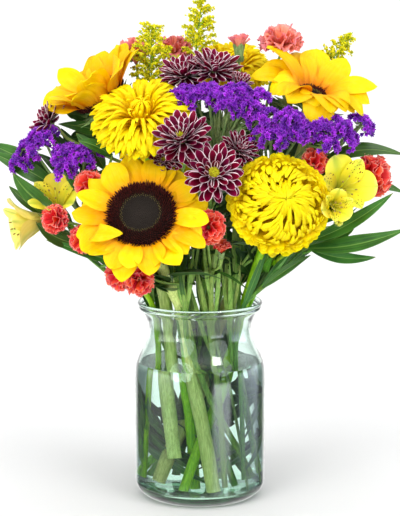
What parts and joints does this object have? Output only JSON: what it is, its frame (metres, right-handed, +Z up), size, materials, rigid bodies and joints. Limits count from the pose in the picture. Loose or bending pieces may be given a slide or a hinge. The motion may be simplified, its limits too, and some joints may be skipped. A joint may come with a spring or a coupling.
{
  "type": "sunflowers in a vase",
  "caption": "Mixed bouquet of sunflowers, chrysanthemums, carnations, alstroemeria, statice and goldenrod standing in a clear glass vase with water.",
  "frame": {"origin": "centre of the vase's flat bottom", "axes": "+Z up along the vase's axis, -Y towards the bouquet's front, +X to the right as seen from the front"},
  "size_m": [0.4083, 0.2824, 0.5042],
  "materials": {
    "clear_glass": "gloss",
    "water": "gloss",
    "sunflower_petal": "satin",
    "sunflower_disc": "matte",
    "thick_stem": "satin",
    "green_stem": "satin",
    "yellow_petal": "satin",
    "burgundy_petal": "satin",
    "coral_petal": "satin",
    "lily_petal": "satin",
    "violet_calyx": "matte",
    "goldenrod": "matte",
    "leaf": "satin"
  },
  "bodies": {
    "root": {"vase": "clear_glass", "water": "water", "sunflower_front_petals": "sunflower_petal", "sunflower_front_disc": "sunflower_disc", "sunflower_left_petals": "sunflower_petal", "sunflower_left_disc": "sunflower_disc", "sunflower_right_petals": "sunflower_petal", "sunflower_right_disc": "sunflower_disc", "mum_left_bloom": "yellow_petal", "mum_right_bloom": "yellow_petal", "mum_top_bloom": "yellow_petal", "mum_back_bloom": "yellow_petal", "burgundy_mum_1_bloom": "burgundy_petal", "burgundy_mum_2_bloom": "burgundy_petal", "burgundy_mum_3_bloom": "burgundy_petal", "burgundy_mum_4_bloom": "burgundy_petal", "burgundy_mum_5_bloom": "burgundy_petal", "burgundy_mum_6_bloom": "burgundy_petal", "burgundy_mum_7_bloom": "burgundy_petal", "burgundy_mum_8_bloom": "burgundy_petal", "carnation_1_bloom": "coral_petal", "carnation_2_bloom": "coral_petal", "carnation_3_bloom": "coral_petal", "carnation_4_bloom": "coral_petal", "carnation_5_bloom": "coral_petal", "carnation_6_bloom": "coral_petal", "carnation_7_bloom": "coral_petal", "carnation_8_bloom": "coral_petal", "carnation_9_bloom": "coral_petal", "carnation_10_bloom": "coral_petal", "carnation_11_bloom": "coral_petal", "carnation_12_bloom": "coral_petal", "carnation_13_bloom": "coral_petal", "carnation_14_bloom": "coral_petal", "alstroemeria_1_bloom": "lily_petal", "alstroemeria_2_bloom": "lily_petal", "alstroemeria_3_bloom": "lily_petal", "alstroemeria_4_bloom": "lily_petal", "sunflower_front_stem": "thick_stem", "sunflower_left_stem": "thick_stem", "sunflower_right_stem": "thick_stem", "mum_left_stem": "green_stem", "mum_right_stem": "green_stem", "mum_top_stem": "green_stem", "mum_back_stem": "green_stem", "burgundy_mum_left_spray_stem": "green_stem", "burgundy_mum_right_spray_stem": "green_stem", "carnation_left_stem": "green_stem", "carnation_middle_stem": "green_stem", "carnation_right_stem": "green_stem", "alstroemeria_left_stem": "green_stem", "alstroemeria_right_stem": "green_stem", "statice_left_spray": "violet_calyx", "statice_middle_spray": "violet_calyx", "statice_right_spray": "violet_calyx", "goldenrod_left_plume": "goldenrod", "goldenrod_right_plume": "goldenrod", "greens_left_sprig": "leaf", "greens_right_sprig": "leaf", "greens_back_sprig": "leaf"}
  },
  "joints": []
}
